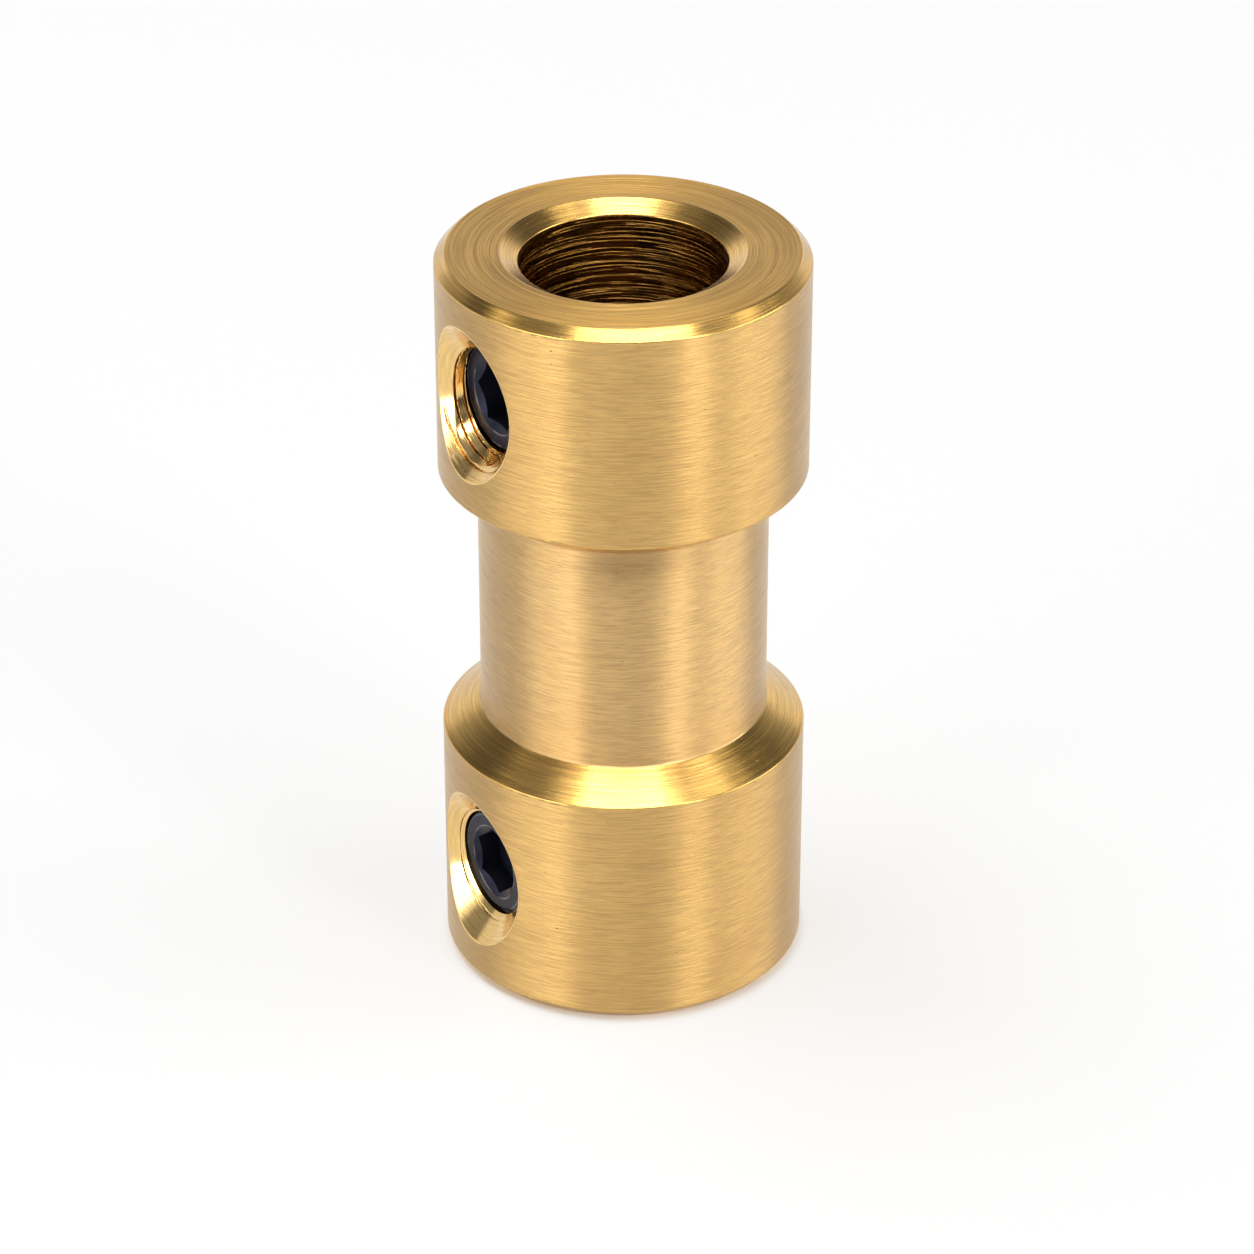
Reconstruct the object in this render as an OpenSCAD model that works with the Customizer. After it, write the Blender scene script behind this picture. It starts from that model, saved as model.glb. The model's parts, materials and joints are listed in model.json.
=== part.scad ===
// Rigid shaft coupling: a turned brass body with two hubs and a slimmer waist.
// It is bored right through for a shaft at each end, and one set screw in
// each hub holds its shaft. Millimetres, +Z along the bore. The origin is the
// centre of the lower end face, and the set screws face -Y.

/* [Body] */
// Outer diameter of both hubs
hub_d = 9; // [7.5:0.1:14]
// Length from end face to end face
body_l = 19; // [15.5:0.1:32]
// Length of the upper hub, from its end face to the edge of its shoulder
upper_hub_l = 5.65; // [4.7:0.05:8]
// Length of the lower hub, from its end face to the edge of its shoulder
lower_hub_l = 6.2; // [5:0.05:8]
// Diameter of the waist between the hubs
waist_d = 7.1; // [5.8:0.1:8.6]
// Length of the conical shoulder between each hub and the waist
shoulder_l = 0.62; // [0.3:0.02:1.6]
// Chamfer round the outer edge of each end face, measured along the face
end_chamfer = 0.25; // [0.1:0.05:0.8]
// Radius left on the turned outer edges
edge_r = 0.04; // [0.01:0.01:0.06]
// Radius left by the tool at the foot of each shoulder
root_r = 0.06; // [0.02:0.01:0.2]

/* [Bore] */
// Diameter of the bore, which is the diameter of the shafts it takes
bore_d = 5; // [3:0.1:6]
// Width of the countersink round each mouth of the bore, seen on the end face
mouth_w = 0.45; // [0.1:0.05:0.7]
// Included angle of that countersink
mouth_angle = 120; // [60:5:140]

/* [Screw seats] */
// Thread diameter of the tapped holes and their set screws
thread_d = 3; // [2.5:0.1:3.6]
// How far the upper hole lies from the middle of its hub, towards the waist
upper_seat_shift = 0.09; // [-0.2:0.01:0.2]
// How far the lower hole lies from the middle of its hub, towards the waist
lower_seat_shift = 0.03; // [-0.2:0.01:0.4]
// Width of the countersink round the upper hole, at the surface of the hub
upper_seat_w = 0.46; // [0.1:0.02:0.7]
// Width of the countersink round the lower hole, at the surface of the hub
lower_seat_w = 0.56; // [0.1:0.02:0.8]
// Included angle of both countersinks
seat_angle = 99; // [82:1:120]

/* [Set screws] */
// Length of each set screw
screw_l = 1.05; // [0.9:0.05:3]
// Radial clearance between each screw and its hole
thread_clear = 0.03; // [0.01:0.01:0.05]
// How far the upper screw's point is backed out from the bore
upper_screw_gap = 0.05; // [0.02:0.01:1]
// How far the lower screw's point is backed out from the bore
lower_screw_gap = 0.3; // [0.02:0.01:1]
// How far the upper screw's socket is turned
upper_screw_turn = 0; // [-30:1:30]
// How far the lower screw's socket is turned
lower_screw_turn = -20; // [-30:1:30]
// Size of the hexagon socket across its flats
socket_af = 1.5; // [0.9:0.1:1.6]
// Depth of the hexagon socket
socket_depth = 0.62; // [0.3:0.02:0.65]
// Width of the chamfer round the mouth of the socket, outside the flats
socket_mouth_w = 0.24; // [0.15:0.01:0.26]
// Chamfer round the outer face of each screw
face_chamfer = 0.16; // [0.05:0.01:0.2]
// Chamfer round the point of each screw
point_chamfer = 0.3; // [0.1:0.05:0.35]

/* [Hidden] */
$fn = 96;
// Points on each rounded corner of the turned outline
corner_steps = 4;
// How far a cutting tool runs past the surface that it cuts
overrun = 0.5;
// Included angle of the drilled floor and the chamfered mouth of each socket
socket_floor_angle = 150;
socket_mouth_angle = 120;
// How far the drilled floor and the chamfer's small end lie inside the flats
socket_inset = 0.05;

hub_r = hub_d / 2;
waist_r = waist_d / 2;
bore_r = bore_d / 2;
mouth_r = bore_r + mouth_w;
mouth_depth = mouth_w / tan(mouth_angle / 2);
thread_r = thread_d / 2;
screw_r = thread_r - thread_clear;
flat_r = socket_af / 2;
upper_edge_z = body_l - upper_hub_l;
upper_seat_z = body_l - upper_hub_l / 2 - upper_seat_shift;
lower_seat_z = lower_hub_l / 2 + lower_seat_shift;

// The vector v at length 1
function unit(v) = v / norm(v);

// An arc of radius r, tangent to both sides of the corner b between a and c
function corner_arc(a, b, c, r) =
    let (to_a = unit(a - b))
    let (to_c = unit(c - b))
    let (half = acos(to_a * to_c) / 2)
    let (centre = b + unit(to_a + to_c) * r / sin(half))
    let (from = b + to_a * r / tan(half) - centre)
    let (till = b + to_c * r / tan(half) - centre)
    let (start = atan2(from.y, from.x))
    let (sweep = atan2(cross(from, till), from * till))
    [for (i = [0:corner_steps])
        let (angle = start + sweep * i / corner_steps)
        centre + r * [cos(angle), sin(angle)]];

// A closed outline with every corner rounded: each corner is [r, z, radius]
function rounded_outline(corners) =
    let (n = len(corners))
    [for (i = [0:n - 1])
        let (before = corners[(i + n - 1) % n])
        let (here = corners[i])
        let (after = corners[(i + 1) % n])
        each corner_arc([before.x, before.y], [here.x, here.y], [after.x, after.y], here.z)];

// Half section of the turned body, from the bore's lower mouth round to it again
body_corners = [
    [mouth_r, 0, edge_r],
    [hub_r - end_chamfer, 0, edge_r],
    [hub_r, end_chamfer, edge_r],
    [hub_r, lower_hub_l, edge_r],
    [waist_r, lower_hub_l + shoulder_l, root_r],
    [waist_r, upper_edge_z - shoulder_l, root_r],
    [hub_r, upper_edge_z, edge_r],
    [hub_r, body_l - end_chamfer, edge_r],
    [hub_r - end_chamfer, body_l, edge_r],
    [mouth_r, body_l, edge_r],
    [bore_r, body_l - mouth_depth, edge_r],
    [bore_r, mouth_depth, edge_r],
];

// Stands its children on the body's axis at height z, with their +Z along -Y
module facing_out(z) {
    translate([0, 0, z]) rotate([90, 0, 0]) children();
}

// Cuts a tapped hole from the bore outwards, with a countersink rim_w wide
module screw_seat(rim_w) {
    slope = tan(seat_angle / 2);
    sink = rim_w / slope;
    cylinder(h = hub_r + overrun, r = thread_r);
    translate([0, 0, hub_r - sink])
        cylinder(h = sink + overrun, r1 = thread_r, r2 = thread_r + rim_w + overrun * slope);
}

// The turned, bored and tapped body
module coupling_body() {
    color("#c9a052") difference() {
        rotate_extrude() polygon(rounded_outline(body_corners));
        facing_out(upper_seat_z) screw_seat(upper_seat_w);
        facing_out(lower_seat_z) screw_seat(lower_seat_w);
    }
}

// Cuts a hexagon socket down from the face of a screw, at the height face_z
module hex_socket(face_z) {
    small_r = flat_r - socket_inset;
    floor_depth = small_r / tan(socket_floor_angle / 2);
    slope = tan(socket_mouth_angle / 2);
    mouth_depth = (socket_mouth_w + socket_inset) / slope;
    translate([0, 0, face_z - socket_depth])
        cylinder(h = socket_depth + overrun, r = flat_r / cos(30), $fn = 6);
    translate([0, 0, face_z - socket_depth - floor_depth])
        cylinder(h = floor_depth, r1 = 0, r2 = small_r);
    translate([0, 0, face_z - mouth_depth])
        cylinder(h = mouth_depth + overrun, r1 = small_r,
            r2 = flat_r + socket_mouth_w + overrun * slope);
}

// A headless screw standing on its flat point, with its socket turned by turn
module set_screw(turn) {
    color("#23242c") rotate([0, 0, turn]) difference() {
        rotate_extrude() polygon([
            [0, 0],
            [screw_r - point_chamfer, 0],
            [screw_r, point_chamfer],
            [screw_r, screw_l - face_chamfer],
            [screw_r - face_chamfer, screw_l],
            [0, screw_l],
        ]);
        hex_socket(screw_l);
    }
}

// The screw in the upper hub
module upper_set_screw() {
    facing_out(upper_seat_z) translate([0, 0, bore_r + upper_screw_gap])
        set_screw(upper_screw_turn);
}

// The screw in the lower hub
module lower_set_screw() {
    facing_out(lower_seat_z) translate([0, 0, bore_r + lower_screw_gap])
        set_screw(lower_screw_turn);
}

coupling_body();
upper_set_screw();
lower_set_screw();
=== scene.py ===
import json
import math

import bmesh
import bpy
import numpy as np
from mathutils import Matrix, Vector


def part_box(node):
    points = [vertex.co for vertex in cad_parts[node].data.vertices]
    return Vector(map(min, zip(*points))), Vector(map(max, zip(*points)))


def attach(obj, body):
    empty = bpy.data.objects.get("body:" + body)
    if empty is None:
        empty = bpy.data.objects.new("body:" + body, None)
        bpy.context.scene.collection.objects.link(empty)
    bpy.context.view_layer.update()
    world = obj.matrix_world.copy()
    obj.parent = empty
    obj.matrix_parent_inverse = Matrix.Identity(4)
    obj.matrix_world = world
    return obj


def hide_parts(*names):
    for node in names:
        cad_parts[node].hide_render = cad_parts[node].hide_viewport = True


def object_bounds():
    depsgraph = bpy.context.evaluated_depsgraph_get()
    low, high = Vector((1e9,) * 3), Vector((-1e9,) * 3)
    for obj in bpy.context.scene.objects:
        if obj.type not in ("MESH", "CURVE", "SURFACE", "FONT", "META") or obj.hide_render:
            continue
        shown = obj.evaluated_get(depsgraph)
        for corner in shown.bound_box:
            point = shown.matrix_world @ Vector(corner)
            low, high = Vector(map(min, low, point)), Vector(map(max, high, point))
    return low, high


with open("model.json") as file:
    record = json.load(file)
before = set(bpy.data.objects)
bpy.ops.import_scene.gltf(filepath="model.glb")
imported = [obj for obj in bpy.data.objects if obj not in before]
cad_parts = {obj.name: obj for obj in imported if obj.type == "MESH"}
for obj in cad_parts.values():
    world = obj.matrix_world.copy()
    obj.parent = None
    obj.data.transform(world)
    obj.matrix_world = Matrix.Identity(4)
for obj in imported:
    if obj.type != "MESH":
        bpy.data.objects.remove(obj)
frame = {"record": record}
cad_low, cad_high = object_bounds()

# Sizes are in millimetres, and a mesh is written in metres
MM = 0.001
TURN = 2 * math.pi

# The turned body: what the frame holds is read from it, the rest repeats the part's sizes
mounts = {mount["name"]: mount for mount in frame["record"]["mounts"]}
BODY_L = cad_high.z / MM
HUB_R = cad_high.x / MM
BORE_R = mounts["upper_shaft_bore"]["dims"]["r_mm"]
WAIST_R = 3.55
UPPER_HUB_L = 5.65
LOWER_HUB_L = 6.2
SHOULDER_L = 0.62
END_CHAMFER = 0.25
MOUTH_W = 0.45
MOUTH_ANGLE = 120
MOUTH_DEPTH = MOUTH_W / math.tan(math.radians(MOUTH_ANGLE / 2))
UPPER_EDGE = BODY_L - UPPER_HUB_L
EDGE_R = 0.04
ROOT_R = 0.06

# The screw seats: a countersink with a rounded rim, the first turns of the thread, and the tapped
# hole behind them
THREAD_R = 1.5
SEAT_ANGLE = 99
SEAT_SLOPE = math.tan(math.radians(SEAT_ANGLE / 2))
RIM_ROUND = 0.025
# The first turns: their crest slopes inwards by the turn's depth, and from a share of the pitch on
# there is a groove, whose flanks are a share of the pitch wide too
CREST_R = 1.25
TURN_PITCH = 0.24
TURN_DEPTH = 0.05
GROOVE_START = 0.68
GROOVE_FLANK = 0.08
GROOVE_DEPTH = 0.19
# How wide the step is from the first turns out to the tapped hole, just outside the screw's face
STEP_W = 0.03

# The set screws. The thread's flats are shares of its pitch
SCREW_R = 1.47
THREAD_PITCH = 0.5
THREAD_DEPTH = 0.27
CREST_FLAT = 0.125
ROOT_FLAT = 0.25
SOCKET_FLAT_R = 0.75
SOCKET_DEPTH = 0.62
SOCKET_MOUTH_R = 0.95
SOCKET_MOUTH_ANGLE = 120
SOCKET_FLOOR_R = 0.7
SOCKET_FLOOR_ANGLE = 150
FACE_CHAMFER = 0.21
POINT_CHAMFER = 0.3

# How finely the surfaces are divided: columns round the body and round a screw, steps on a rounded
# corner of the outline, and rows on a screw seat's rounded edge
AROUND = 288
SCREW_AROUND = 288
CORNER_STEPS = 4
BEND_ROWS = 6
# How far the point that holds the shading lies from the end of a straight side
HOLD = 0.03
# How widely the kink is rounded where two surfaces cross
KINK = 0.01
# The windows for a screw seat in the hub's side and in the bore: half the width in columns, and the
# height in rows. The edges of both have the same number of points: 4 half widths and 2 heights
HUB_WINDOW = 32
HUB_ROWS = 24
BORE_WINDOW = 38
BORE_ROWS = HUB_ROWS - 2 * (BORE_WINDOW - HUB_WINDOW)
# How far a window in the bore reaches past the tapped hole, and the rows between both windows
BORE_REACH = 0.5
MIDDLE_ROWS = 5
# Where the rows of a patch lie, as shares of the way from a hole's rim to its window's edge
HUB_PATCH = [0, 0.01, 0.04, 0.12, 0.25, 0.4, 0.55, 0.7, 0.85, 0.96, 1]
BORE_PATCH = [0, 0.03, 0.12, 0.3, 0.55, 0.8, 1]
# The rows down a seat's wall: how many lie on the cone, how high those that show the thread and the
# others are, and how many more the others are
CONE_ROWS = 7
FINE_ROW = 0.01
COARSE_ROW = 0.04
MORE_ROWS = 6
# How far outside the first groove the fine rows begin, how far inside the screw's face they end,
# and how far they run down a screw below the chamfer of its face
GROOVE_MARGIN = 0.03
ROW_MARGIN = 0.02
FINE_THREAD = 0.3
# How often the rim's radius is worked out anew
REPEATS = 30
# How far apart points may lie and still be welded, and the shortest edge, in metres
WELD = 1e-7
SHORTEST_EDGE = 1e-8
# The angle in degrees above which an edge of a screw is sharp
SCREW_SHARP = 28

# The camera, from the photograph
VIEW_AZIMUTH = math.radians(57.2)
VIEW_ELEVATION = math.radians(29.91)
VIEW_DISTANCE = 116.85
VIEW_AIM_Z = 8.69
VIEW_AIM_SIDE = 0.087
FOCAL_LENGTH = 135.66

# The body's finishes, in the order of its materials
TURNED_SIDE, FACED_END, TURNED_CHAMFER, TURNED_WAIST, REAMED_BORE, DRILLED_SEAT = range(6)

# The corners of the body's half section, from the bore's lower mouth round to it again: r, z, the
# corner's radius, its finish, and the finish of the straight side after it. A side that has a name
# in place of a finish is a wall with windows
OUTLINE = [
    (BORE_R + MOUTH_W, 0, EDGE_R, FACED_END, FACED_END),
    (HUB_R - END_CHAMFER, 0, EDGE_R, TURNED_CHAMFER, TURNED_CHAMFER),
    (HUB_R, END_CHAMFER, EDGE_R, TURNED_CHAMFER, "lower_side"),
    (HUB_R, LOWER_HUB_L, EDGE_R, TURNED_CHAMFER, TURNED_CHAMFER),
    (WAIST_R, LOWER_HUB_L + SHOULDER_L, ROOT_R, TURNED_WAIST, TURNED_WAIST),
    (WAIST_R, UPPER_EDGE - SHOULDER_L, ROOT_R, TURNED_WAIST, TURNED_CHAMFER),
    (HUB_R, UPPER_EDGE, EDGE_R, TURNED_CHAMFER, "upper_side"),
    (HUB_R, BODY_L - END_CHAMFER, EDGE_R, TURNED_CHAMFER, TURNED_CHAMFER),
    (HUB_R - END_CHAMFER, BODY_L, EDGE_R, TURNED_CHAMFER, FACED_END),
    (BORE_R + MOUTH_W, BODY_L, EDGE_R, TURNED_CHAMFER, TURNED_CHAMFER),
    (BORE_R, BODY_L - MOUTH_DEPTH, EDGE_R, TURNED_CHAMFER, "bore"),
    (BORE_R, MOUTH_DEPTH, EDGE_R, TURNED_CHAMFER, TURNED_CHAMFER),
]


# Meshes

class Surface:
    """Grids of points that become one mesh. Each grid is rows by columns by (x, y, z), in
    millimetres, and carries a finish and its tool marks: the cosine and sine of the angle that
    they run round, and the length across them."""

    def __init__(self):
        self.points = []
        self.marks = []
        self.faces = []
        self.finishes = []
        self.count = 0

    def add(self, points, marks, finish, keep=None):
        """A grid of quads between neighbouring rows and columns, with its last column joined to its
        first. keep is a mask of the quads that stay."""
        rows, columns = points.shape[:2]
        numbers = self.count + np.arange(rows * columns).reshape(rows, columns)
        following = np.roll(numbers, -1, axis=1)
        quads = np.stack([numbers[:-1], following[:-1], following[1:], numbers[1:]], axis=-1)
        if keep is not None:
            quads = quads[keep]
        quads = quads.reshape(-1, 4)
        self.points.append(points.reshape(-1, 3))
        self.marks.append(marks.reshape(-1, 3))
        self.faces.append(quads)
        self.finishes.append(np.full(len(quads), finish))
        self.count += rows * columns

    def build(self, name, materials, sharp=None):
        """Welds the grids into one closed mesh, without the points that no quad uses, rides it on
        the root body and returns its object."""
        points = np.concatenate(self.points)
        marks = np.concatenate(self.marks)
        faces = np.concatenate(self.faces)
        finishes = np.concatenate(self.finishes)
        used, faces = np.unique(faces, return_inverse=True)
        faces = faces.reshape(-1, 4)
        mesh = bpy.data.meshes.new(name)
        mesh.from_pydata((points[used] * MM).tolist(), [], faces.tolist())
        mesh.attributes.new("marks", "FLOAT_VECTOR", "POINT")
        mesh.attributes["marks"].data.foreach_set("vector", marks[used].astype(np.float32).ravel())
        mesh.polygons.foreach_set("material_index", finishes.astype(np.int32))
        for material in materials:
            mesh.materials.append(material)
        edit = bmesh.new()
        edit.from_mesh(mesh)
        bmesh.ops.remove_doubles(edit, verts=edit.verts, dist=WELD)
        bmesh.ops.dissolve_degenerate(edit, edges=edit.edges, dist=SHORTEST_EDGE)
        bmesh.ops.recalc_face_normals(edit, faces=edit.faces)
        edit.to_mesh(mesh)
        edit.free()
        mesh.polygons.foreach_set("use_smooth", np.ones(len(mesh.polygons), bool))
        if sharp is not None:
            mesh.set_sharp_from_angle(angle=math.radians(sharp))
        piece = bpy.data.objects.new(name, mesh)
        bpy.context.scene.collection.objects.link(piece)
        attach(piece, "root")
        return piece


def between(start, end, shares):
    """Rows at the given shares of the way from start to end, which are lines of values."""
    return start + (end - start) * np.asarray(shares)[:, None]


def bend(start, corner, end):
    """Rows on a rounded corner: the quadratic curve that leaves start towards the corner and
    reaches end from there."""
    share = np.linspace(0, 1, BEND_ROWS)[:, None]
    return (1 - share) ** 2 * start + 2 * share * (1 - share) * corner + share**2 * end


def soft_max(a, b):
    """The larger of two arrays, with the kink between them rounded: half of their sum and of the
    root of their difference squared and the kink's width squared."""
    return (a + b + np.sqrt((a - b) ** 2 + KINK**2)) / 2


def depth_on(cylinder_r, across):
    """How far from the body's axis along -Y a cylinder round it lies, at a distance across: the
    root of the radius squared less the distance squared."""
    return np.sqrt(cylinder_r**2 - across**2)


# The turned body

def round_corners(corners):
    """A closed outline of (r, z, radius) corners with each corner an arc tangent to both its sides.
    Returns for each corner its arc's points, from the side before it to the side after it."""
    arcs = []
    for before, here, after in zip(np.roll(corners, 1, 0), corners, np.roll(corners, -1, 0)):
        corner, radius = here[:2], here[2]
        back = (before[:2] - corner) / np.linalg.norm(before[:2] - corner)
        ahead = (after[:2] - corner) / np.linalg.norm(after[:2] - corner)
        half = math.acos(back @ ahead) / 2
        middle = (back + ahead) / np.linalg.norm(back + ahead)
        centre = corner + middle * radius / math.sin(half)
        start = corner + back * radius / math.tan(half) - centre
        end = corner + ahead * radius / math.tan(half) - centre
        sweep = math.atan2(start[0] * end[1] - start[1] * end[0], start @ end)
        angles = math.atan2(start[1], start[0]) + np.linspace(0, sweep, CORNER_STEPS + 1)
        arcs.append(centre + radius * np.stack([np.cos(angles), np.sin(angles)], -1))
    return arcs


def held_line(start, end):
    """A straight side from start to end, with a point close to each end to hold the shading."""
    length = np.linalg.norm(end - start)
    near = min(HOLD, length / 3) / length
    return between(start, end, [0, near, 0.5, 1 - near, 1])


def turned(outline, along):
    """Points of an outline of (r, z) turned about the axis, where angle 0 faces -Y, and marks that
    run round it, with along as the length at each of the outline's points."""
    angles = np.arange(AROUND) * TURN / AROUND
    r, z = outline[:, 0, None], outline[:, 1, None]
    points = np.stack(np.broadcast_arrays(r * np.sin(angles), -r * np.cos(angles), z), -1)
    marks = np.stack(np.broadcast_arrays(np.sin(angles), np.cos(angles), along[:, None]), -1)
    return points, marks


def turned_stretches(surface):
    """Turns the outline about the axis: each corner's arc and the straight side after it, with the
    length along the outline in their marks. Returns the lines of the walls with windows."""
    arcs = round_corners(np.array([corner[:3] for corner in OUTLINE]))
    walls = {}
    travelled = 0.0
    for (*_, corner_finish, side_finish), arc, following in zip(OUTLINE, arcs, arcs[1:] + arcs[:1]):
        line = held_line(arc[-1], following[0])
        for stretch, finish in ((arc, corner_finish), (line, side_finish)):
            steps = np.linalg.norm(np.diff(stretch, axis=0), axis=1)
            along = travelled + np.concatenate([[0], np.cumsum(steps)])
            travelled = along[-1]
            if isinstance(finish, str):
                walls[finish] = stretch
            else:
                surface.add(*turned(stretch, along), finish)
    return walls


def tube_with_windows(surface, radius, rows_z, half, spans, finish):
    """A cylinder's wall on rows at rows_z, without the quads of its windows. A window is half
    columns wide to either side of -Y, and spans the rows from a first to a last one."""
    outline = np.stack([np.full(len(rows_z), radius), rows_z], -1)
    columns = np.arange(AROUND)
    inside = (columns < half) | (columns >= AROUND - half)
    keep = np.ones((len(rows_z) - 1, AROUND), bool)
    for first, last in spans:
        keep[first:last, inside] = False
    surface.add(*turned(outline, rows_z), finish, keep=keep)


def window_loop(half, rows_z):
    """The edge of a window of columns and rows, as (angle, z), once round from its lowest left."""
    angle = np.arange(-half, half + 1) * TURN / AROUND
    bottom = np.stack([angle[:-1], np.full(len(angle) - 1, rows_z[0])], -1)
    right = np.stack([np.full(len(rows_z) - 1, angle[-1]), rows_z[:-1]], -1)
    top = np.stack([angle[:0:-1], np.full(len(angle) - 1, rows_z[-1])], -1)
    left = np.stack([np.full(len(rows_z) - 1, angle[0]), rows_z[:0:-1]], -1)
    return np.concatenate([bottom, right, top, left])


def hub_side(surface, line):
    """A hub's side, with a window as high as the side itself. Returns the window's edge."""
    low, high = sorted(line[[0, -1], 1])
    inner_rows = np.linspace(low + HOLD, high - HOLD, HUB_ROWS - 1)
    rows_z = np.concatenate([[low], inner_rows, [high]])
    tube_with_windows(surface, HUB_R, rows_z, HUB_WINDOW, [(0, HUB_ROWS)], TURNED_SIDE)
    return window_loop(HUB_WINDOW, rows_z)


def bore_wall(surface, line):
    """The bore's wall, with a window for each seat. Returns the lower and the upper one's edge."""
    low, high = sorted(line[[0, -1], 1])
    reach = THREAD_R + BORE_REACH
    lower = np.linspace(LOWER_SEAT.z - reach, LOWER_SEAT.z + reach, BORE_ROWS + 1)
    upper = np.linspace(UPPER_SEAT.z - reach, UPPER_SEAT.z + reach, BORE_ROWS + 1)
    middle = np.linspace(lower[-1], upper[0], MIDDLE_ROWS + 1)[1:-1]
    below = [low, low + HOLD]
    above = [high - HOLD, high]
    rows_z = np.concatenate([below, lower, middle, upper, above])
    first = len(below)
    second = first + len(lower) + len(middle)
    spans = [(first, first + BORE_ROWS), (second, second + BORE_ROWS)]
    tube_with_windows(surface, BORE_R, rows_z, BORE_WINDOW, spans, REAMED_BORE)
    return window_loop(BORE_WINDOW, lower), window_loop(BORE_WINDOW, upper)


# The screw seats

def low_side(around):
    """1 at the bottom of a hole and 0 on its upper half: minus the sine, where that is above 0."""
    return np.clip(-np.sin(around), 0, 1)


class Seat:
    """Where a screw and its countersunk hole lie, in millimetres. A depth is a distance from the
    body's axis along -Y, and an angle runs round the hole's axis from +X towards +Z. The height
    and the depths of the screw's face and point are read from the CAD node's box. start is the
    depth of the thread's crest on the +X side. On the lower side of the hole the first turns lie
    further out by drop, and by lean for each millimetre outside the screw's face."""

    def __init__(self, node, rim_w, turn, start, drop, lean):
        low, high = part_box(node)
        self.z = (low.z + high.z) / 2 / MM
        self.face = -low.y / MM
        self.point = -high.y / MM
        self.rim_r = THREAD_R + rim_w
        self.turn = math.radians(turn)
        self.start = start
        self.drop = drop
        self.lean = lean

    def cone_radius(self, depth):
        """The countersink's radius at a depth: the rim's at the hub's own radius, and less by the
        slope for each millimetre further in."""
        return self.rim_r - (HUB_R - depth) * SEAT_SLOPE

    def rim_radius(self, around):
        """Where the countersink meets the hub, at an angle round the hole: the radius at which the
        cone's depth is the hub's own, found by repeating."""
        radius = np.full(around.shape, self.rim_r)
        for _ in range(REPEATS):
            radius = self.cone_radius(depth_on(HUB_R, radius * np.cos(around)))
        return radius

    def wall_radius(self, around, depth):
        """The hole's wall at an angle and a depth: the first turns of the thread, which slope
        inwards with a narrow groove between them, or the countersink's cone where that is wider.
        Just outside the screw's face the wall steps out to the tapped hole."""
        phase = ((self.start - depth) / TURN_PITCH + around / TURN) % 1
        slope = TURN_DEPTH * np.clip(1 - phase / GROOVE_START, 0, 1)
        groove = np.clip(np.minimum(phase - GROOVE_START, 1 - phase) / GROOVE_FLANK, 0, 1)
        turns = CREST_R + slope + GROOVE_DEPTH * groove
        turns = turns + low_side(around) * (self.drop + self.lean * (depth - self.face))
        mouth = soft_max(turns, self.cone_radius(depth))
        behind = np.clip((self.face + STEP_W - depth) / STEP_W, 0, 1)
        return mouth + (THREAD_R - mouth) * behind

    def thread_top(self, around, cone_depth):
        """The depth at an angle where the fine rows begin: a margin outside the depth at which the
        cone is as wide as the widest groove, but a margin inside the rim's rounded edge."""
        low = low_side(around)
        widest = CREST_R + GROOVE_DEPTH + low * (self.drop - self.lean * self.face)
        cut = widest - self.rim_r + HUB_R * SEAT_SLOPE
        depth = cut / (SEAT_SLOPE - low * self.lean) + GROOVE_MARGIN
        return np.minimum(depth, cone_depth - ROW_MARGIN)

    def place(self, around, radius, depth):
        """Points at an angle and radius round the hole's axis and a depth, and marks that run round
        the hole."""
        around, radius, depth = np.broadcast_arrays(around, radius, depth)
        points = np.stack([radius * np.cos(around), -depth, self.z + radius * np.sin(around)], -1)
        marks = np.stack([np.cos(around), np.sin(around), depth + radius - self.face], -1)
        return points, marks


UPPER_SEAT = Seat("upper_set_screw", rim_w=0.46, turn=0, start=3.76, drop=0.1, lean=0.34)
LOWER_SEAT = Seat("lower_set_screw", rim_w=0.56, turn=-20, start=3.8, drop=0.05, lean=0.1)


def patch(surface, seat, cylinder_r, loop, around, rim, shares, finish):
    """A sheet on a cylinder round the body's axis, between a hole's rim, which is a radius at each
    angle round the hole, and its window's edge. It is worked out flat, as (across, z), and rolled
    round the cylinder."""
    rim_across = cylinder_r * np.arcsin(rim * np.cos(around) / cylinder_r)
    across = between(rim_across, loop[:, 0] * cylinder_r, shares)
    z = between(seat.z + rim * np.sin(around), loop[:, 1], shares)
    angle = across / cylinder_r
    points = np.stack([cylinder_r * np.sin(angle), -cylinder_r * np.cos(angle), z], -1)
    marks = np.stack([np.sin(angle), np.cos(angle), z], -1)
    surface.add(points, marks, finish)


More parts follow.
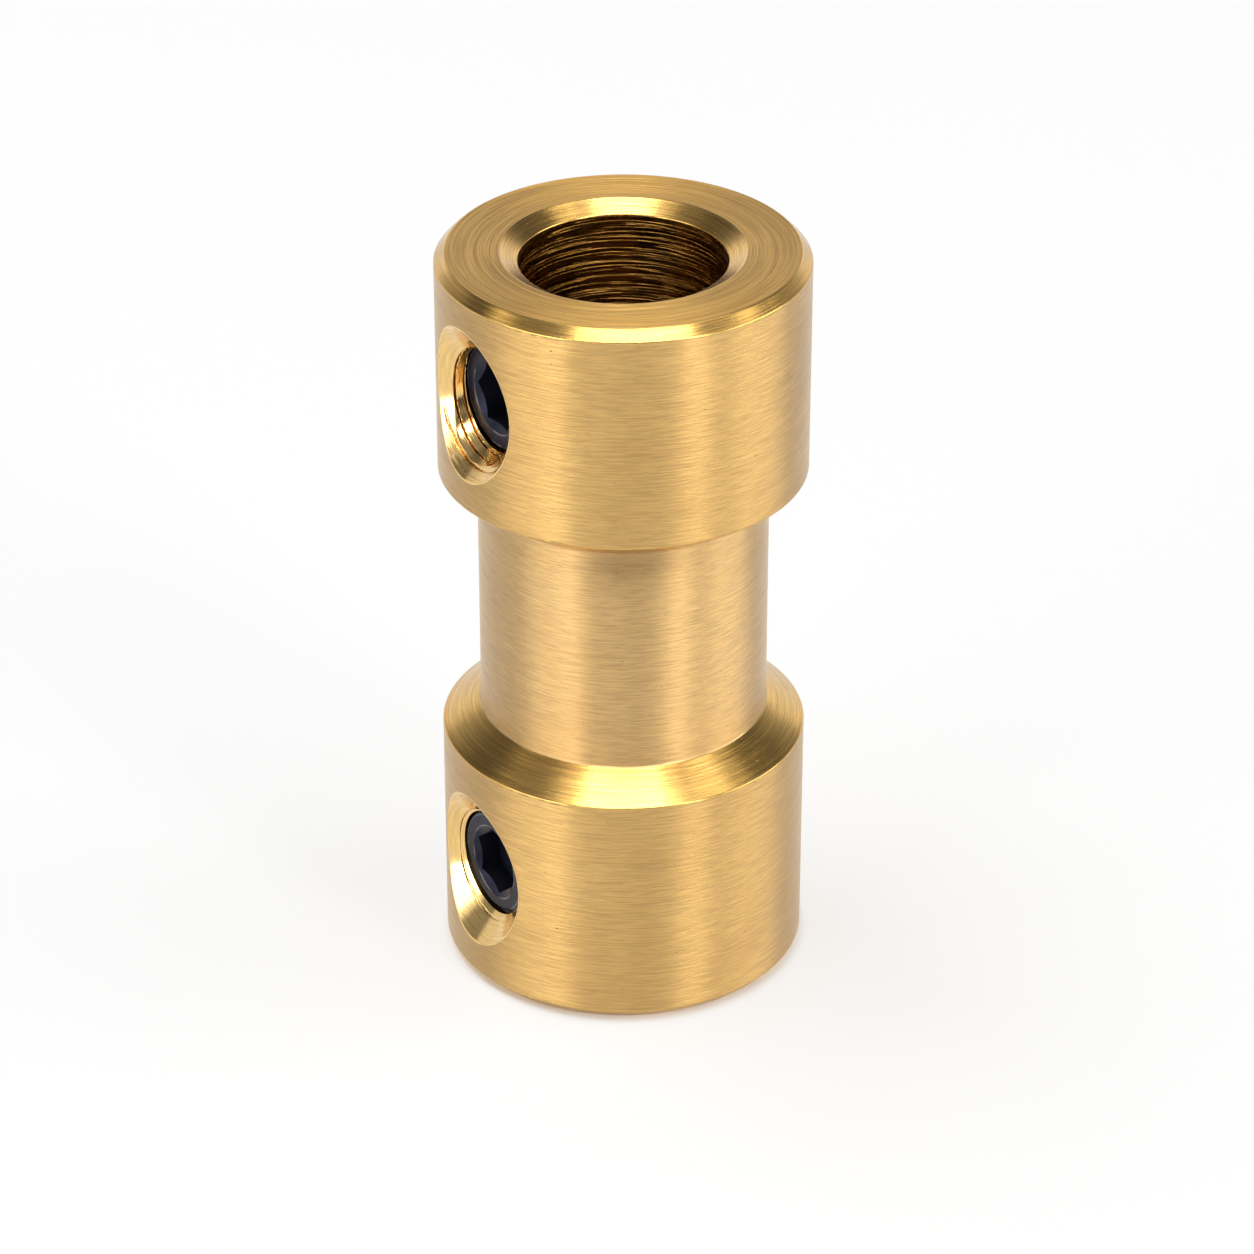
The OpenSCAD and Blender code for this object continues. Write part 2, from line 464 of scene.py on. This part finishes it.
def screw_seat(surface, seat, hub_loop, bore_loop):
    """A countersunk, tapped hole from the hub's side to the bore: a patch on the hub, a rounded
    rim, the wall as a radius over angle and depth, a rounded edge and a patch on the bore. Its
    columns lie at the angles at which the points of the hub window's edge are seen."""
    around = np.arctan2(hub_loop[:, 1] - seat.z, hub_loop[:, 0] * HUB_R)
    cos = np.cos(around)

    rim = seat.rim_radius(around)
    outer = rim + RIM_ROUND
    inner = rim - RIM_ROUND
    cone_depth = HUB_R - (seat.rim_r - inner) / SEAT_SLOPE
    patch(surface, seat, HUB_R, hub_loop, around, outer, HUB_PATCH, TURNED_SIDE)
    depth = bend(depth_on(HUB_R, outer * cos), depth_on(HUB_R, rim * cos), cone_depth)
    surface.add(*seat.place(around, bend(outer, rim, inner), depth), DRILLED_SEAT)

    corner_depth = depth_on(BORE_R, THREAD_R * cos)
    exit_depth = corner_depth + RIM_ROUND
    thread_top = seat.thread_top(around, cone_depth)
    fine_end = seat.face - ROW_MARGIN
    fine_rows = int((thread_top.max() - fine_end) / FINE_ROW)
    coarse_rows = int((fine_end - BORE_R) / COARSE_ROW) + MORE_ROWS
    depth = np.concatenate([
        between(cone_depth, thread_top, np.linspace(0, 1, CONE_ROWS)),
        between(thread_top, fine_end, np.linspace(0, 1, fine_rows)[1:]),
        between(fine_end, exit_depth, np.linspace(0, 1, coarse_rows)[1:]),
    ])
    radius = seat.wall_radius(around, depth)
    # The first row is the rounded rim's last one, so that both are welded
    radius[0] = inner
    surface.add(*seat.place(around, radius, depth), DRILLED_SEAT)

    outer = THREAD_R + RIM_ROUND
    depth = bend(exit_depth, corner_depth, depth_on(BORE_R, outer * cos))
    surface.add(*seat.place(around, bend(THREAD_R, THREAD_R, outer), depth), DRILLED_SEAT)
    patch(surface, seat, BORE_R, bore_loop, around, outer, BORE_PATCH, REAMED_BORE)


def coupling_body():
    """The body: its half section turned about the axis, with windows in the hubs' sides and in the
    bore, and the screw seats that fill those windows."""
    surface = Surface()
    walls = turned_stretches(surface)
    lower_hub_loop = hub_side(surface, walls["lower_side"])
    upper_hub_loop = hub_side(surface, walls["upper_side"])
    lower_bore_loop, upper_bore_loop = bore_wall(surface, walls["bore"])
    screw_seat(surface, LOWER_SEAT, lower_hub_loop, lower_bore_loop)
    screw_seat(surface, UPPER_SEAT, upper_hub_loop, upper_bore_loop)
    return surface


# The set screws

def thread_ridge(phase):
    """0 at a thread's root and 1 at its crest, for a phase in turns: flats at the crest and the
    root, and straight flanks between them."""
    from_crest = np.abs((phase + 0.5) % 1 - 0.5)
    flank = (1 - CREST_FLAT - ROOT_FLAT) / 2
    return 1 - np.clip((from_crest - CREST_FLAT / 2) / flank, 0, 1)


def screw_side(around, top, bottom):
    """A screw's side as a radius over angle and depth: the thread's, or that of the chamfer of the
    face or the point where it is smaller. Returns the radius and the depth."""
    fine = np.arange(top, top - FACE_CHAMFER - FINE_THREAD, -FINE_ROW)
    coarse = np.linspace(fine[-1], bottom, int((top - bottom) / COARSE_ROW))[1:]
    depth = np.concatenate([fine, coarse])[:, None]
    phase = depth / THREAD_PITCH - around / TURN + 0.5
    thread = SCREW_R - THREAD_DEPTH * (1 - thread_ridge(phase))
    face_cone = SCREW_R - FACE_CHAMFER + (top - depth)
    point_cone = SCREW_R - POINT_CHAMFER + (depth - bottom)
    return -soft_max(soft_max(-thread, -face_cone), -point_cone), depth


def set_screw(seat):
    """A headless screw: its threaded side, its face and hexagon socket as straight bands from ring
    to ring, and its flat point. The hexagon's radius is the distance of its sides from the axis
    over the cosine of the angle from the middle of the nearest side."""
    hexagon = np.arange(SCREW_AROUND) * TURN / SCREW_AROUND
    around = hexagon + seat.turn
    flat = SOCKET_FLAT_R / np.cos(hexagon % (TURN / 6) - TURN / 12)
    surface = Surface()
    side, depth = screw_side(around, seat.face, seat.point)
    surface.add(*seat.place(around, side, depth), 0)

    # Each ring is a radius and a depth, and each band lies between two rings, with its rows at
    # shares of the way
    mouth = (SOCKET_MOUTH_R - flat) / math.tan(math.radians(SOCKET_MOUTH_ANGLE / 2))
    drill = SOCKET_FLOOR_R / math.tan(math.radians(SOCKET_FLOOR_ANGLE / 2))
    floor = seat.face - SOCKET_DEPTH
    edge_ring = side[0], seat.face
    mouth_ring = SOCKET_MOUTH_R, seat.face
    wall_ring = flat, seat.face - mouth
    foot_ring = flat, floor
    floor_ring = SOCKET_FLOOR_R, floor
    drill_tip = 0, floor - drill
    point_ring = side[-1], seat.point
    point_middle = 0, seat.point
    bands = [
        (edge_ring, mouth_ring, [0, 0.05, 0.15, 0.5, 0.9, 0.97, 1]),
        (mouth_ring, wall_ring, [0, 0.06, 0.3, 0.7, 0.94, 1]),
        (wall_ring, foot_ring, [0, 0.03, 0.2, 0.5, 0.9, 1]),
        (foot_ring, floor_ring, np.linspace(0, 1, 4)),
        (floor_ring, drill_tip, np.linspace(0, 1, 8)),
        (point_ring, point_middle, np.linspace(0, 1, 8)),
    ]
    for (start_r, start_depth), (end_r, end_depth), shares in bands:
        radius = between(start_r, end_r, shares)
        depth = between(start_depth, end_depth, shares)
        surface.add(*seat.place(around, radius, depth), 0)
    return surface


# Shaders

class Wire:
    """An output of a shader node. Arithmetic on it adds Math nodes."""

    def __init__(self, shader, socket):
        self.shader = shader
        self.socket = socket

    def math(self, operation, *others):
        inputs = dict(enumerate([self, *others]))
        return self.shader.node("Math", {"operation": operation}, inputs)

    def __add__(self, other):
        return self.math("ADD", other)

    def __radd__(self, other):
        return self.math("ADD", other)

    def __sub__(self, other):
        return self.math("SUBTRACT", other)

    def __rsub__(self, other):
        return self.shader.node("Math", {"operation": "SUBTRACT"}, {0: other, 1: self})

    def __mul__(self, other):
        return self.math("MULTIPLY", other)

    def __rmul__(self, other):
        return self.math("MULTIPLY", other)


class Shader:
    """The nodes of one material or of the world."""

    def __init__(self, tree):
        self.tree = tree
        tree.nodes.clear()

    def node(self, kind, settings=None, inputs=None, output=0):
        """Adds a node. Its settings, such as a Math node's operation, are set first, and then its
        sockets get their values or wires. Returns one of its outputs, or None if it has none."""
        made = self.tree.nodes.new("ShaderNode" + kind)
        for key, value in (settings or {}).items():
            setattr(made, key, value)
        for key, value in (inputs or {}).items():
            if isinstance(value, Wire):
                self.tree.links.new(value.socket, made.inputs[key])
            else:
                made.inputs[key].default_value = value
        return Wire(self, made.outputs[output]) if len(made.outputs) else None

    def ramp(self, value, low, high):
        """0 where value is at low and 1 where it is at high, smooth between them and level beyond."""
        settings = {"interpolation_type": "SMOOTHSTEP"}
        return self.node("MapRange", settings, {"Value": value, "From Min": low, "From Max": high})

    def mix(self, factor, one, other):
        """One colour at factor 0 and the other at 1: the node's colours are its sockets 6 and 7."""
        return self.node("Mix", {"data_type": "RGBA"}, {0: factor, 6: one, 7: other}, output=2)

    def noise(self, vector, stretch, detail=2.0, roughness=0.5):
        """Noise from 0 to 1 with so many cells to each unit of the vector's axes."""
        scaled = self.node("VectorMath", {"operation": "MULTIPLY"}, {0: vector, 1: stretch})
        inputs = {"Vector": scaled, "Scale": 1.0, "Detail": detail, "Roughness": roughness}
        return self.node("TexNoise", inputs=inputs)

    def bump(self, height, depth):
        """The normal of a relief that is so many millimetres high where height is 1."""
        inputs = {"Strength": 1.0, "Distance": depth * MM, "Height": height}
        return self.node("Bump", inputs=inputs)

    def finish(self, inputs):
        """Ends the material in a Principled shader with the given sockets."""
        bsdf = self.node("BsdfPrincipled", inputs=inputs)
        self.node("OutputMaterial", inputs={"Surface": bsdf})


def new_material(name):
    """An empty material, and the Shader that fills it."""
    material = bpy.data.materials.new(name)
    material.use_nodes = True
    return material, Shader(material.node_tree)


# What tarnish leaves of the red, green and blue of brass, and the colour of a pit in it
TARNISH = (0.62, 0.48, 0.35)
PIT_COLOUR = (0.14, 0.075, 0.022, 1.0)


def brass(name, tint, roughness, anisotropy, line_depth, fine, dash, contrast, dashes_round=6.0,
          ridge=0.0, coat=0.0):
    """Turned brass. Noise stretched round the piece makes the tool's lines: long ones, fine of them
    to a millimetre and line_depth deep, steps along them that are ridge times as deep, and short
    dashes that are dash times as deep and shift the tint by contrast either way. The dashes are
    shorter the higher dashes_round is. Soft bands and clouds of tarnish and small dark pits lie
    over them. tint is the metal's colour, which for the bore is darkened as painted shade, and coat
    is how much of a film of oil lies on it."""
    material, shader = new_material(name)
    marks = shader.node("Attribute", {"attribute_name": "marks"}, output="Vector")
    place = shader.node("TexCoord", output="Object")
    lines = shader.noise(marks, (0.6, 0.6, fine))
    dashes = shader.noise(marks, (dashes_round, dashes_round, 28.0), detail=3.0, roughness=0.65)
    bands = shader.noise(marks, (0.8, 0.8, 3.0))
    clouds = shader.noise(place, (420.0, 420.0, 420.0), detail=3.0)
    pit = shader.ramp(shader.noise(marks, (30.0, 30.0, 15.0), detail=1.0), 0.76, 0.82)

    dark = tuple((1 - contrast) * c for c in tint) + (1.0,)
    light = tuple((1 + contrast) * c for c in tint) + (1.0,)
    brown = tuple(left * c for left, c in zip(TARNISH, tint)) + (1.0,)
    colour = shader.mix(shader.ramp(dashes, 0.36, 0.64), dark, light)
    colour = shader.mix(shader.ramp(lines, 0.52, 0.8) * (2.0 * contrast), colour, brown)
    colour = shader.mix(shader.ramp(clouds, 0.45, 0.8) * 0.2, colour, brown)
    colour = shader.mix(pit * 0.6, colour, PIT_COLOUR)

    height = lines * 0.6 + dashes * dash + bands * 0.2 - pit * 0.8
    if ridge:
        height = height + shader.ramp(lines, 0.5, 0.56) * ridge
    shader.finish({
        "Base Color": colour,
        "Metallic": 1.0,
        "Roughness": roughness + (lines - 0.5) * 0.16 + (bands - 0.5) * 0.1 + pit * 0.2,
        "Anisotropic": anisotropy,
        "Anisotropic Rotation": 0.25,
        "Coat Weight": coat,
        "Coat Roughness": 0.3,
        "Normal": shader.bump(height, line_depth),
    })
    return material


# Black oxide at its darkest and its lightest, and the steel where it is worn through, which is partly
# a painted highlight on the edges it lies on
OXIDE_DARK = (0.008, 0.009, 0.017, 1.0)
OXIDE_LIGHT = (0.021, 0.023, 0.040, 1.0)
WORN_STEEL_AND_EDGE_HIGHLIGHT = (0.17, 0.17, 0.185, 1.0)


def black_oxide(name):
    """Black oxide on steel: a dark blue-black satin with faint mottling, and the paler steel where
    it is worn through, on the chamfer of the face and along the edge of the socket's mouth, which
    also stands in as a painted highlight on those edges.
    The length across a screw's marks is the radius on its face, and stays the same on that chamfer."""
    material, shader = new_material(name)
    marks = shader.node("Attribute", {"attribute_name": "marks"}, output="Vector")
    outwards = shader.node("SeparateXYZ", inputs={0: marks}, output="Z")
    place = shader.node("TexCoord", output="Object")
    mottle = shader.noise(place, (900.0, 900.0, 900.0), detail=4.0, roughness=0.6)
    grain = shader.noise(place, (9000.0, 9000.0, 9000.0))
    face_r = SCREW_R - FACE_CHAMFER
    # The paler steel on the face's chamfer and along the socket's mouth is partly worn steel and
    # partly a painted highlight on these edges
    rim = shader.ramp(outwards, face_r - 0.05, face_r - 0.01)
    mouth = shader.ramp((outwards - SOCKET_MOUTH_R).math("ABSOLUTE"), 0.035, 0.01)
    patchy = shader.ramp(shader.noise(place, (1600.0, 1600.0, 1600.0)), 0.42, 0.6)
    colour = shader.mix(shader.ramp(mottle, 0.3, 0.75), OXIDE_DARK, OXIDE_LIGHT)
    shader.finish({
        "Base Color": shader.mix((rim + mouth) * patchy * 0.8, colour, WORN_STEEL_AND_EDGE_HIGHLIGHT),
        "Metallic": 0.5,
        "Roughness": 0.31 + (mottle - 0.5) * 0.2,
        "Specular IOR Level": 0.14,
        "Normal": shader.bump(grain, 0.002),
    })
    return material


def body_finishes():
    """The brass of each of the body's surfaces, from TURNED_SIDE to DRILLED_SEAT."""
    return [
        brass("turned_side", tint=(0.58, 0.36, 0.12), roughness=0.38, anisotropy=0.98,
              line_depth=0.011, fine=24.0, dash=0.9, contrast=0.12, coat=0.5),
        brass("faced_end", tint=(0.57, 0.338, 0.087), roughness=0.45, anisotropy=0.55,
              line_depth=0.012, fine=11.0, dash=0.6, contrast=0.2, dashes_round=1.6, ridge=0.4),
        brass("turned_chamfer", tint=(0.62, 0.37, 0.09), roughness=0.21, anisotropy=0.82,
              line_depth=0.010, fine=16.0, dash=0.3, contrast=0.18, dashes_round=2.5, coat=0.35),
        brass("turned_waist", tint=(0.60, 0.385, 0.15), roughness=0.41, anisotropy=0.97,
              line_depth=0.011, fine=24.0, dash=0.9, contrast=0.12, coat=0.6),
        # The bore's tint is much darker than the other brass: it is painted shade of the deep bore,
        # not a different metal
        brass("reamed_bore", tint=(0.34, 0.18, 0.042), roughness=0.14, anisotropy=0.95,
              line_depth=0.006, fine=18.0, dash=0.3, contrast=0.3, dashes_round=1.0, ridge=1.4),
        brass("drilled_seat", tint=(0.84, 0.57, 0.22), roughness=0.15, anisotropy=0.0,
              line_depth=0.005, fine=12.0, dash=0.1, contrast=0.1, dashes_round=2.0, coat=0.2),
    ]


def build_object():
    """The pieces: the body and both screws, each in place of its CAD node."""
    body = coupling_body().build("turned_body", body_finishes())
    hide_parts("coupling_body")
    steel = black_oxide("black_oxide_steel")
    for name, node, seat in (("upper_screw", "upper_set_screw", UPPER_SEAT),
                             ("lower_screw", "lower_set_screw", LOWER_SEAT)):
        screw = set_screw(seat).build(name, [steel], sharp=SCREW_SHARP)
        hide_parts(node)


# Camera, floor and light

def view_direction(azimuth, elevation):
    """The unit vector from the object towards a camera or lamp there: azimuth 0 is on the -Y side."""
    flat = math.cos(elevation)
    return Vector((math.sin(azimuth) * flat, -math.cos(azimuth) * flat, math.sin(elevation)))


def from_camera(azimuth, elevation):
    """That vector for degrees, with the azimuth counted from the camera's, to the right."""
    return view_direction(VIEW_AZIMUTH + math.radians(azimuth), math.radians(elevation))


def make_camera():
    """The camera at the photograph's angle and distance, aimed at a point close to the axis."""
    data = bpy.data.cameras.new("camera")
    data.lens = FOCAL_LENGTH
    data.sensor_width = 36.0
    data.clip_start = 0.005
    data.clip_end = 20.0
    camera = bpy.data.objects.new("camera", data)
    bpy.context.scene.collection.objects.link(camera)
    right = Vector((math.cos(VIEW_AZIMUTH), math.sin(VIEW_AZIMUTH), 0))
    aim = (right * VIEW_AIM_SIDE + Vector((0, 0, VIEW_AIM_Z))) * MM
    back = view_direction(VIEW_AZIMUTH, VIEW_ELEVATION)
    camera.location = aim + back * VIEW_DISTANCE * MM
    camera.rotation_mode = "QUATERNION"
    camera.rotation_quaternion = (-back).to_track_quat("-Z", "Y")
    bpy.context.scene.camera = camera


# The floor: half its width in metres, its colour, and how much of what is seen is its own white
FLOOR_HALF = 4.0
PAPER = (0.9, 0.9, 0.9, 1.0)
FLOOR_GLOW = 0.62


def make_floor():
    """A white floor. Part of its white is its own where the camera, metal or glass sees it, so that
    the object's shadow stays faint, but not under the object."""
    mesh = bpy.data.meshes.new("floor")
    corners = [(-FLOOR_HALF, -FLOOR_HALF, 0), (FLOOR_HALF, -FLOOR_HALF, 0),
               (FLOOR_HALF, FLOOR_HALF, 0), (-FLOOR_HALF, FLOOR_HALF, 0)]
    mesh.from_pydata(corners, [], [(0, 1, 2, 3)])
    floor = bpy.data.objects.new("floor", mesh)
    bpy.context.scene.collection.objects.link(floor)
    material, shader = new_material("white_floor")
    seen = shader.node("LightPath", output="Is Camera Ray")
    mirrored = shader.node("LightPath", output="Is Glossy Ray")
    passed = shader.node("LightPath", output="Is Transmission Ray")
    place = shader.node("TexCoord", output="Object")
    away = shader.node("VectorMath", {"operation": "LENGTH"}, {0: place}, output="Value")
    shown = seen.math("MAXIMUM", mirrored).math("MAXIMUM", passed)
    shown = shown * shader.ramp(away, 0.95 * HUB_R * MM, 1.05 * HUB_R * MM)
    paper = shader.node("BsdfDiffuse", inputs={"Color": PAPER})
    glow = shader.node("Emission", inputs={"Color": (1.0, 1.0, 1.0, 1.0), "Strength": 1.0})
    mixed = shader.node("MixShader", inputs={0: shown * FLOOR_GLOW, 1: paper, 2: glow})
    shader.node("OutputMaterial", inputs={"Surface": mixed})
    mesh.materials.append(material)


# The lamps: azimuth from the camera's to the right and elevation in degrees, width and height in
# millimetres, and level, which is the lamp's own brightness, where 1 is white
LAMP_DISTANCE = 260
SOFTBOXES = {
    "right_strip": (44, 24, 54, 230, 5.4),
    "right": (84, 14, 188, 120, 3.3),
    "right_back": (92, 42, 64, 60, 2.0),
    "right_high": (104, 62, 66, 60, 3.0),
    "left_strip": (-40, 9, 52, 90, 9.0),
    "left": (-60, 14, 112, 126, 3.3),
    "left_top": (-88, 39, 60, 50, 1.6),
    "overhead": (0, 86, 130, 96, 9.0),
    "overhead_glow": (0, 86, 210, 170, 1.5),
    "front_top": (8, 58, 250, 70, 8.0),
    "floor_key": (-115, 64, 150, 150, 4.2),
}
# The lamps that only reflections show, so that the light on the floor stays plain, and the one that
# no reflection shows
CARDS = ("overhead", "overhead_glow", "front_top")
FLOOR_LAMP = "floor_key"
# Darker patches of the world: azimuth and elevation, how far from there each begins and is full, in
# degrees, and how much of the light it takes away
DARK_PATCHES = (
    (-98, 23, 17, 12, 0.75),
    (5, 26, 36, 24, 0.7),
    (130, 35, 26, 14, 0.5),
    (-130, 35, 26, 14, 0.5),
)


def softbox(name, azimuth, elevation, width, height, level):
    """A soft lamp aimed at the object's middle. Its power is its level times pi and its area."""
    data = bpy.data.lights.new(name, "AREA")
    data.shape = "RECTANGLE"
    data.size = width * MM
    data.size_y = height * MM
    data.energy = level * math.pi * data.size * data.size_y
    lamp = bpy.data.objects.new(name, data)
    bpy.context.scene.collection.objects.link(lamp)
    towards = from_camera(azimuth, elevation)
    lamp.location = towards * LAMP_DISTANCE * MM + Vector((0, 0, BODY_L / 2 * MM))
    lamp.rotation_mode = "QUATERNION"
    lamp.rotation_quaternion = towards.to_track_quat("Z", "Y")
    lamp.visible_camera = False
    return lamp


def make_world():
    """The world is dark overhead and bright near the horizon, less so behind the object, with a
    dark gap behind the camera and a few darker patches."""
    world = bpy.data.worlds.new("studio")
    bpy.context.scene.world = world
    world.use_nodes = True
    shader = Shader(world.node_tree)
    seen = shader.node("TexCoord", output="Generated")

    def along(azimuth, elevation):
        """The cosine of the angle between what is seen and the given place."""
        return shader.node("VectorMath", {"operation": "DOT_PRODUCT"},
                           {0: seen, 1: from_camera(azimuth, elevation)}, output="Value")

    # The gap is the near half of an upright band through azimuth 14, square to azimuth 104
    band = shader.ramp(along(104, 0).math("ABSOLUTE"), 0.2, 0.1)
    gap = band * shader.ramp(along(14, 0), 0.3, 0.6)
    ahead = along(0, 0)
    straight_behind = shader.ramp(ahead, -0.62, -0.85)
    in_front = shader.ramp(ahead, -0.5, 0.1)
    ring = 0.6 + 0.25 * straight_behind + 0.65 * in_front
    horizon = shader.ramp(along(0, 90), 0.6, 0.35) * ring
    strength = (0.3 + horizon) * (1 - 0.9 * gap)
    for azimuth, elevation, outside, inside, depth in DARK_PATCHES:
        edges = math.cos(math.radians(outside)), math.cos(math.radians(inside))
        strength = strength * (1 - depth * shader.ramp(along(azimuth, elevation), *edges))
    pale = shader.node("Background", inputs={"Color": (1.0, 1.0, 1.0, 1.0), "Strength": strength})
    shader.node("OutputWorld", inputs={"Surface": pale})


def make_lamps():
    """The lamps, and which of them diffuse surfaces and reflections show."""
    for name, (azimuth, elevation, width, height, level) in SOFTBOXES.items():
        lamp = softbox(name, azimuth, elevation, width, height, level)
        lamp.visible_diffuse = name not in CARDS
        lamp.visible_glossy = name != FLOOR_LAMP


make_camera()
build_object()
make_floor()
make_world()
make_lamps()
bpy.context.scene.view_settings.view_transform = "Standard"
